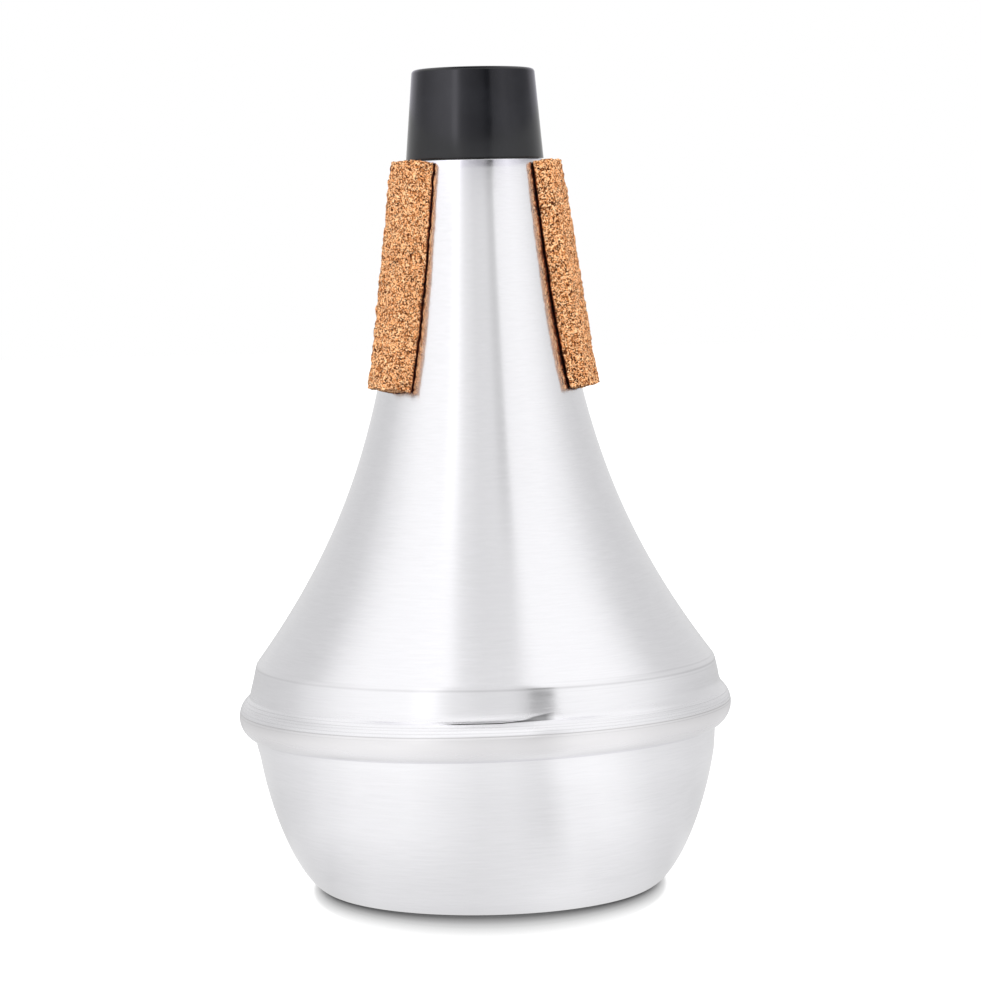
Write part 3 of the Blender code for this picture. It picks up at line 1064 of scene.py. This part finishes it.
@dataclass
class CorkStrip:
    """One strip of cork, glued along the neck.

    Attributes:
        name: name of the piece.
        azimuth: where it sits round the neck.
        thickness: how far it stands out, as handles from its top to its foot.
        seed: picks its grain.
        length: its length along the cone.
        width: its width.
        drop: how far below the rim it starts.
        rough: how far its torn skin stands out.
        grain_scales: how fine the two grains and the lumps of that skin are, per metre.
        seated: share of the thickness below which it lies flat on the cone.
        steps: parts that it is cut into, lengthwise, across and through.
    """

    form: Form
    name: str
    azimuth: float
    thickness: tuple[float, float, float] = (4.1 * MM, 4.7 * MM, 4.2 * MM)
    seed: int = 1
    length: float = 49.5 * MM
    width: float = 9.2 * MM
    drop: float = 0.6 * MM
    rough: float = 0.30 * MM
    grain_scales: tuple[float, float, float] = (900.0, 2200.0, 260.0)
    seated: float = 0.02
    steps: tuple[int, int, int] = (120, 24, 11)

    def path(self) -> list[tuple[Point, Point]]:
        """Seat points and outward normals along the cone, equally spaced from the strip's top."""
        fine = [self.form.flare(share) for share in fractions(1200)]
        distances = [0.0]
        for a, b in zip(fine, fine[1:]):
            distances.append(distances[-1] + math.dist(a, b))
        sections = []
        i = 1
        for part in fractions(self.steps[0]):
            wanted = self.drop + part * self.length
            while distances[i] < wanted:
                i += 1
            share = (wanted - distances[i - 1]) / (distances[i] - distances[i - 1])
            seat = along(fine[i - 1], fine[i], share)
            run = (fine[i][0] - fine[i - 1][0], fine[i][1] - fine[i - 1][1])
            length = math.hypot(*run)
            sections.append((seat, (-run[1] / length, run[0] / length)))
        return sections

    def block(self) -> Piece:
        """A unit block, cut into as many parts as the strip has steps."""
        deselect_all()
        bpy.ops.mesh.primitive_cube_add(size=1.0, location=(0.5, 0.0, 0.5))
        apply_place()
        piece = bpy.context.object
        bpy.ops.object.mode_set(mode="EDIT")
        for direction, count in zip((Vector((0, 0, 1)), Vector((0, 1, 0)), Vector((1, 0, 0))), self.steps):
            for i in range(1, count):
                share = i / count - (0.5 if direction.y else 0.0)
                bpy.ops.mesh.select_all(action="SELECT")
                bpy.ops.mesh.bisect(plane_co=direction * share, plane_no=direction)
        bpy.ops.object.mode_set(mode="OBJECT")
        return piece

    def build(self, cork: Material) -> Piece:
        """Builds the strip on the cone.

        Args:
            cork: its material.

        Returns:
            The strip.
        """
        piece = self.block()
        piece.name = self.name
        piece.data.name = self.name
        sections = self.path()
        turn = Matrix.Rotation(self.azimuth - math.pi / 2, 3, "Z")
        shift = Vector((self.seed * 0.37, self.seed * 0.11, self.seed * 0.53))
        last = len(sections) - 1
        fine, finer, coarse = self.grain_scales
        lifts = []
        for vertex in piece.data.vertices:
            out, side, up = vertex.co
            place = (1.0 - up) * last
            i = min(int(place), last - 1)
            share = place - i
            seat = along(sections[i][0], sections[i + 1][0], share)
            normal = along(sections[i][1], sections[i + 1][1], share)
            thickness = bezier([(handle, 0.0) for handle in self.thickness], 1.0 - up)[0]
            lift = self.form.seat_gap + out * thickness
            radius, height = seat[0] + lift * normal[0], seat[1] + lift * normal[1]
            y = side * self.width
            point = Vector((math.sqrt(radius ** 2 - y ** 2), y, height))
            spot = point + shift
            grain = noise.noise_vector(spot * fine) + 0.6 * noise.noise_vector(spot * finer)
            lump = noise.noise_vector(spot * coarse)
            lifts.append(out)
            move = self.rough * grain + 0.6 * self.rough * lump
            if out <= self.seated:
                move.x = 0.0
            vertex.co = turn @ (point + move)
        store(piece.data, "lift", lifts)
        piece.data.materials.append(cork)
        return piece


# studio


@dataclass(frozen=True)
class Card:
    """A card that the metal mirrors.

    Attributes:
        name: its name.
        azimuth: its direction, in degrees.
        foot: distance from the axis and height of its lower edge.
        top: the same of its upper edge.
        width: its width.
        level: its level.
    """

    name: str
    azimuth: float
    foot: Point
    top: Point
    width: float
    level: float


@dataclass
class Studio:
    """Camera, floor, lamps and the white cloth round the mute that the metal mirrors.

    A level is a brightness and an azimuth is in degrees. The levels of the cloths, the paper and the floor
    were read off the photograph's brightness by scratch scripts, by the direction that the metal mirrors or
    by the radius on the floor, and were then corrected against renders.

    Attributes:
        camera_place: where the camera stands.
        pitch: how far it looks down.
        roll: how far it is rolled.
        lens: its focal length, in millimetres.
        lamp_size: width and height of a lamp.
        lamp_power: its power, in watts.
        lamp_elevation: how high it stands, in degrees.
        lamp_distance: how far from the mute it stands.
        lamp_azimuth: how far to the left and to the right the two lamps stand.
        tent_radius: radius of the cloth.
        shadow_inside: radius at which the floor's painted shadow starts.
        shadow_reach: how far it goes to the side and to the front.
        floor_glow: light added to the floor, by the share of the way through the painted shadow, of twice its
            width.
        floor_tone: the floor's tone, by the same share, darkest at the foot, where it is a painted shadow.
        low_cloth: level of the cloth near the floor, by azimuth.
        high_cloth: level of the cloth higher up.
        floor_cloth: level that the metal mirrors in the floor, its light and shade painted by azimuth.
        near_cloth: the same, close to the foot.
        sleeve_paper: level of the paper ring that the throat sleeve mirrors.
        sleeve_ring: section of that ring.
        sleeve_tint: its red, green and blue at level 1.
        sleeve_lid: section of the dark lid over it.
        lid_paper: level of the lid.
        cards: cards that the metal mirrors; the white one stands close to the bead.
    """

    camera_place: tuple[float, float, float] = (0.0019, -0.700, 0.1383)
    pitch: float = math.radians(4.21)
    roll: float = math.radians(-1.21)
    lens: float = 117.52
    lamp_size: Point = (0.8, 1.1)
    lamp_power: float = 14.0
    lamp_elevation: float = 28.0
    lamp_distance: float = 1.1
    lamp_azimuth: float = 52.0
    tent_radius: float = 1.4
    shadow_inside: float = 35.5 * MM
    shadow_reach: Point = (38.4 * MM, 58.5 * MM)
    floor_glow: Levels = (
        (0.0, 0.0), (0.28, 0.0), (0.45, 0.24), (0.50, 0.30), (0.68, 0.80), (1.0, 0.80),
    )
    floor_tone: Levels = (
        (0.0, 0.20), (0.03, 0.16), (0.065, 0.128), (0.105, 0.175), (0.14, 0.208), (0.175, 0.25),
        (0.21, 0.30), (0.245, 0.34), (0.30, 0.38), (1.0, 0.38),
    )
    low_cloth: Levels = (
        (-180, 0.80), (-145, 0.71), (-122, 0.68), (-107, 0.71), (-95, 0.82), (-85, 0.90), (-75, 0.98),
        (-65, 1.03), (-55, 1.05), (-38, 1.07), (-32, 1.16), (-25, 1.13), (-21, 0.98), (-15, 0.87),
        (-9, 0.83), (-3, 0.78), (9, 0.79), (14, 0.78), (18, 0.70), (22, 0.66), (26, 0.71), (29, 0.96),
        (34, 1.00), (55, 1.03), (65, 1.01), (75, 0.97), (85, 0.90), (95, 0.81), (107, 0.73), (122, 0.69),
        (145, 0.71), (180, 0.80),
    )
    high_cloth: Levels = (
        (-180, 1.03), (-95, 1.05), (-75, 1.06), (-34, 1.09), (-28, 1.09), (-24, 0.99), (-20, 0.88),
        (-15, 0.83), (-3, 0.78), (14, 0.80), (23, 0.81), (27, 0.90), (31, 1.00), (37, 1.06), (75, 1.06),
        (95, 1.05), (180, 1.03),
    )
    floor_cloth: Levels = (
        (-180, 0.69), (-115, 0.71), (-95, 0.76), (-85, 0.80), (-75, 0.87), (-65, 0.91), (-55, 0.97),
        (-31, 0.99), (-20, 0.94), (-12, 0.89), (-3, 0.84), (9, 0.85), (16, 0.81), (22, 0.79), (26, 0.86),
        (31, 0.96), (45, 0.99), (55, 0.96), (65, 0.88), (75, 0.81), (85, 0.78), (110, 0.72), (180, 0.69),
    )
    near_cloth: Levels = (
        (-180, 0.84), (-120, 0.84), (-95, 0.77), (-80, 0.73), (-65, 0.71), (-55, 0.76), (-42, 0.83),
        (-25, 0.82), (-5, 0.79), (6, 0.82), (14, 0.86), (22, 0.90), (30, 0.90), (38, 0.86), (50, 0.82),
        (62, 0.78), (72, 0.73), (85, 0.71), (100, 0.78), (120, 0.85), (180, 0.84),
    )
    sleeve_paper: Levels = (
        (-180, 1.00), (-125, 0.86), (-113, 0.56), (-94, 0.56), (-80, 0.78), (-70, 0.98), (-59, 1.20),
        (-45, 1.37), (-37, 1.48), (-34, 2.00), (-28.5, 2.20), (-25, 1.35), (-20, 0.80), (-7, 0.52),
        (8, 0.38), (16.6, 0.22), (22, 0.06), (27, 0.06), (30, 0.55), (41.5, 0.75), (51, 0.92),
        (60.5, 0.76), (71, 0.68), (81, 0.50), (94, 0.40), (111, 0.42), (122, 0.70), (180, 1.00),
    )
    sleeve_ring: Levels = ((80.0 * MM, 176.0 * MM), (80.0 * MM, 215.0 * MM))
    sleeve_tint: Colour = (1.0, 0.98, 1.07)
    sleeve_lid: Levels = ((60.0 * MM, 300.0 * MM), (0.0, 300.0 * MM))
    lid_paper: Levels = ((-180, 0.04), (180, 0.04))
    cards: tuple[Card, ...] = (
        Card("dark_card", 24.8, (0.250, 0.060), (0.250, 0.150), 0.062, 0.38),
        Card("white_card", 0.0, (0.0578, 0.0420), (0.0551, 0.0451), 0.042, 1.10),
    )

    def camera(self) -> None:
        """Makes the camera at the photograph's viewing angle."""
        data = bpy.data.cameras.new("camera")
        data.sensor_width = 36.0
        data.lens = self.lens
        data.clip_start = 0.01
        data.clip_end = 50.0
        camera = bpy.data.objects.new("camera", data)
        bpy.context.scene.collection.objects.link(camera)
        level = Matrix.Rotation(math.pi / 2 - self.pitch, 4, "X")
        placed = Matrix.Translation(self.camera_place) @ level
        camera.matrix_world = placed @ Matrix.Rotation(self.roll, 4, "Z")
        bpy.context.scene.camera = camera

    def world(self) -> None:
        """A white surround for the camera and for gloss, and a plain level of light for the rest."""
        world = bpy.data.worlds.new("surround")
        bpy.context.scene.world = world
        world.use_nodes = True
        tree = Tree(world.node_tree)
        world.node_tree.nodes.clear()
        light_path = tree.add("LightPath").outputs
        seen = tree.math("MAXIMUM", light_path["Is Camera Ray"], light_path["Is Glossy Ray"])
        seen = tree.math("MAXIMUM", seen, light_path["Is Transmission Ray"])
        plain = tree.add("Background", {"Color": WHITE, "Strength": 1.25})
        white = tree.add("Background", {"Color": WHITE, "Strength": 1.0})
        both = tree.add("MixShader", {0: seen, 1: plain.outputs[0], 2: white.outputs[0]})
        tree.add("OutputWorld", {"Surface": both.outputs[0]})

    def floor(self) -> None:
        """The white floor, with a shadow painted into its tone and glow close to the mute's foot, mostly in
        front of it, over the shadow that the mute really casts.
        """
        deselect_all()
        bpy.ops.mesh.primitive_circle_add(vertices=96, radius=4.0, fill_type="NGON")
        floor = bpy.context.object
        floor.name = "floor"
        tree = self.new_surface(floor)
        place = tree.place()
        radius = tree.add("VectorMath", {0: place}, operation="LENGTH").outputs["Value"]
        # painted shadow: tone and glow darken the floor round the foot by this share
        share = self.through_painted_shadow(tree, place, radius)
        glow = tree.ramp(share, [(stop, (level,) * 3) for stop, level in self.floor_glow])
        tone = tree.ramp(share, [(stop, (level,) * 3) for stop, level in self.floor_tone])
        diffuse = tree.add("BsdfDiffuse", {"Color": tone}).outputs[0]
        glowing = tree.add("Emission", {"Color": glow}).outputs[0]
        lit = tree.add("AddShader", {0: diffuse, 1: glowing}).outputs[0]
        # painted light and shade: gloss sees the floor as a glow set by azimuth and radius, dimmer close
        # under the foot
        cloth = self.level_round(tree, place, self.floor_cloth)
        near = self.level_round(tree, place, self.near_cloth)
        cloth = tree.mix(tree.span(radius, 0.044, 0.070), near, cloth)
        rise = tree.span(radius, 0.09, 0.13, 1.0, 1.08)
        fade = tree.math("MULTIPLY", rise, tree.span(radius, 0.16, 0.42, 1.0, 0.83))
        fade = tree.math("MULTIPLY", fade, tree.span(radius, 0.031, 0.041, 0.85, 1.0))
        strength = tree.math("DIVIDE", fade, LEVEL_SHARE)
        mirrored = tree.add("Emission", {"Color": cloth, "Strength": strength}).outputs[0]
        light_path = tree.add("LightPath").outputs
        seen = tree.add("MixShader", {0: light_path["Is Glossy Ray"], 1: lit, 2: mirrored}).outputs[0]
        plain = tree.add("MixShader", {0: light_path["Is Diffuse Ray"], 1: seen, 2: diffuse}).outputs[0]
        tree.add("OutputMaterial", {"Surface": plain})

    def new_surface(self, piece: Piece) -> Tree:
        """Gives a piece of the studio an empty material that lights nothing by itself.

        Args:
            piece: the piece.

        Returns:
            The tree of the material.
        """
        material = bpy.data.materials.new(piece.name)
        material.use_nodes = True
        material.node_tree.nodes.clear()
        material.cycles.emission_sampling = "NONE"
        piece.data.materials.append(material)
        return Tree(material.node_tree)

    def through_painted_shadow(self, tree: Tree, place: object, radius: object) -> Socket:
        """Half the share of the way from the foot's edge to the edge of the painted shadow.

        Args:
            tree: the tree to add the nodes to.
            place: place on the floor.
            radius: its distance from the axis.

        Returns:
            The share, 0 at the foot's edge and 0.5 at the shadow's.
        """
        aside, ahead = self.shadow_reach
        links = {0: place, 1: (1 / aside, 1 / ahead, 1.0)}
        scaled = tree.add("VectorMath", links, operation="MULTIPLY").outputs[0]
        shares = tree.add("VectorMath", {0: scaled}, operation="LENGTH").outputs["Value"]
        edge = tree.math("DIVIDE", radius, shares)
        into = tree.math("SUBTRACT", radius, self.shadow_inside)
        width = tree.math("SUBTRACT", edge, self.shadow_inside)
        return tree.math("MULTIPLY", tree.math("DIVIDE", into, width), 0.5, clamp=True)

    def lamp(self, name: str, azimuth: float) -> None:
        """Adds one soft lamp that looks at the mute.

        Args:
            name: name of the lamp.
            azimuth: its direction, in degrees.
        """
        data = bpy.data.lights.new(name, "AREA")
        data.shape = "RECTANGLE"
        data.size, data.size_y = self.lamp_size
        data.energy = self.lamp_power
        lamp = bpy.data.objects.new(name, data)
        bpy.context.scene.collection.objects.link(lamp)
        a, e = math.radians(azimuth), math.radians(self.lamp_elevation)
        back = Vector((math.sin(a) * math.cos(e), -math.cos(a) * math.cos(e), math.sin(e)))
        lamp.location = Vector((0, 0, 0.09)) + back * self.lamp_distance
        lamp.rotation_euler = back.to_track_quat("Z", "Y").to_euler()
        lamp.visible_camera = False
        lamp.visible_glossy = False

    def level_round(self, tree: Tree, place: object, levels: Levels, tint: Colour = (1, 1, 1)) -> Socket:
        """Brightness of the surroundings by their direction round the mute.

        Args:
            tree: the tree to add the nodes to.
            place: the place that is looked up.
            levels: (azimuth, level) pairs, from -180 to 180 degrees.
            tint: red, green and blue of level 1.

        Returns:
            The brightness times LEVEL_SHARE, as a colour.
        """
        parts = tree.split(place)
        turn = tree.math("ARCTAN2", parts["X"], tree.math("MULTIPLY", parts["Y"], -1.0))
        share = tree.math("MULTIPLY_ADD", turn, 1 / math.tau, 0.5)
        stops = []
        for azimuth, level in levels:
            stops.append(((azimuth + 180) / 360, tuple(LEVEL_SHARE * level * colour for colour in tint)))
        return tree.ramp(share, stops)

    def only_mirrored(self, piece: Piece) -> None:
        """Hides a piece of the studio from all but gloss.

        Args:
            piece: the piece.
        """
        piece.visible_camera = False
        piece.visible_diffuse = False
        piece.visible_shadow = False
        piece.visible_transmission = False

    def tent(self) -> None:
        """The lit cloth round the mute: bright beside the camera, greyer at its slit and at the sides."""
        deselect_all()
        bpy.ops.mesh.primitive_uv_sphere_add(segments=64, ring_count=32, radius=self.tent_radius)
        tent = bpy.context.object
        tent.name = "light_tent"
        bpy.ops.object.mode_set(mode="EDIT")
        bpy.ops.mesh.select_all(action="SELECT")
        bpy.ops.mesh.bisect(plane_co=(0, 0, 0.001), plane_no=(0, 0, 1), clear_inner=True)
        bpy.ops.object.mode_set(mode="OBJECT")
        tree = self.new_surface(tent)
        place = tree.place()
        rise = tree.math("DIVIDE", tree.split(place)["Z"], self.tent_radius)
        low = self.level_round(tree, place, self.low_cloth)
        high = self.level_round(tree, place, self.high_cloth)
        cloth = tree.mix(tree.span(rise, 0.59, 0.77), low, high)
        overhead = (1.25 * LEVEL_SHARE,) * 3
        cloth = tree.mix(tree.span(rise, 0.92, 0.975), cloth, (*overhead, 1.0))
        strength = tree.math("DIVIDE", tree.span(rise, 0.0, 0.13, 0.91, 1.0), LEVEL_SHARE)
        glow = tree.add("Emission", {"Color": cloth, "Strength": strength})
        tree.add("OutputMaterial", {"Surface": glow.outputs[0]})
        self.only_mirrored(tent)

    def paper(self, name: str, outline: Levels, levels: Levels, tint: Colour) -> None:
        """A turned sheet of lit paper that the mute mirrors.

        Args:
            name: name of the piece.
            outline: its section.
            levels: its level by azimuth.
            tint: red, green and blue of level 1.
        """
        piece = Turning(name, list(outline), False, steps=96).spin()
        tree = self.new_surface(piece)
        place = tree.place()
        cloth = self.level_round(tree, place, levels, tint)
        glow = tree.add("Emission", {"Color": cloth, "Strength": 1 / LEVEL_SHARE}).outputs[0]
        tree.add("OutputMaterial", {"Surface": glow})
        self.only_mirrored(piece)

    def card(self, shape: Card) -> None:
        """Sets up a card, faded out at both its sides.

        Args:
            shape: its place, size and level.
        """
        deselect_all()
        bpy.ops.mesh.primitive_grid_add(x_subdivisions=12, y_subdivisions=4, size=1.0)
        card = bpy.context.object
        card.name = shape.name
        foot, top = shape.foot, shape.top
        middle = along(foot, top, 0.5)
        card.matrix_world = (
            Matrix.Rotation(math.radians(shape.azimuth), 4, "Z")
            @ Matrix.Translation((0.0, -middle[0], middle[1]))
            @ Matrix.Rotation(math.atan2(top[1] - foot[1], foot[0] - top[0]), 4, "X")
            @ Matrix.Diagonal((shape.width, math.dist(foot, top), 1.0, 1.0))
        )
        tree = self.new_surface(card)
        parts = tree.split(tree.place())
        solid = tree.span(tree.math("ABSOLUTE", parts["X"]), 0.5, 0.25)
        glow = tree.add("Emission", {"Strength": shape.level}).outputs[0]
        clear = tree.add("BsdfTransparent").outputs[0]
        mixed = tree.add("MixShader", {0: solid, 1: clear, 2: glow}).outputs[0]
        tree.add("OutputMaterial", {"Surface": mixed})
        self.only_mirrored(card)

    def build(self) -> None:
        """Sets up the whole studio."""
        self.camera()
        self.world()
        self.floor()
        self.tent()
        for card in self.cards:
            self.card(card)
        self.paper("sleeve_paper", self.sleeve_ring, self.sleeve_paper, self.sleeve_tint)
        self.paper("sleeve_lid", self.sleeve_lid, self.lid_paper, WHITE[:3])
        self.lamp("soft_lamp_left", -self.lamp_azimuth)
        self.lamp("soft_lamp_right", self.lamp_azimuth)
        bpy.context.scene.view_settings.view_transform = "Standard"


# main


def finish_piece(piece: Piece, node: str) -> None:
    """Says what a piece rides on and which node it stands for, and hides that node.

    Args:
        piece: the piece.
        node: the CAD node that it stands for.
    """
    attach(piece, "root")
    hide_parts(node)
    LOG.info("%s stands for %s, %d faces", piece.name, node, len(piece.data.polygons))


def main() -> None:
    """Builds the mute and its studio."""
    logging.basicConfig(level=logging.INFO, format="%(name)s: %(message)s")
    noise.seed_set(NOISE_SEED)
    form = Form()
    lines, marks = turned_lines(), handling_marks()
    cone = SpunCone(form, SpunAluminium("aluminium_cone"))
    finish_piece(cone.build(lines, marks), "cone_shell")
    bowl = SpunBowl(form, SpunAluminium("aluminium_bowl"))
    finish_piece(bowl.build(lines, marks), "base_bowl")
    finish_piece(ThroatSleeve(form, MouldedPlastic()).build(marks), "throat_sleeve")
    cork = AgglomeratedCork().material()
    strips = [
        CorkStrip(form, "cork_left", math.radians(-51.8), (4.5 * MM, 5.45 * MM, 4.85 * MM), seed=1),
        CorkStrip(form, "cork_right", math.radians(71.2), (3.4 * MM, 4.8 * MM, 3.75 * MM), seed=2),
        CorkStrip(form, "cork_back", math.radians(190.0), seed=3),
    ]
    for strip in strips:
        finish_piece(strip.build(cork), strip.name.replace("cork_", "cork_strip_"))
    Studio().build()


if __name__ == "__main__":
    main()
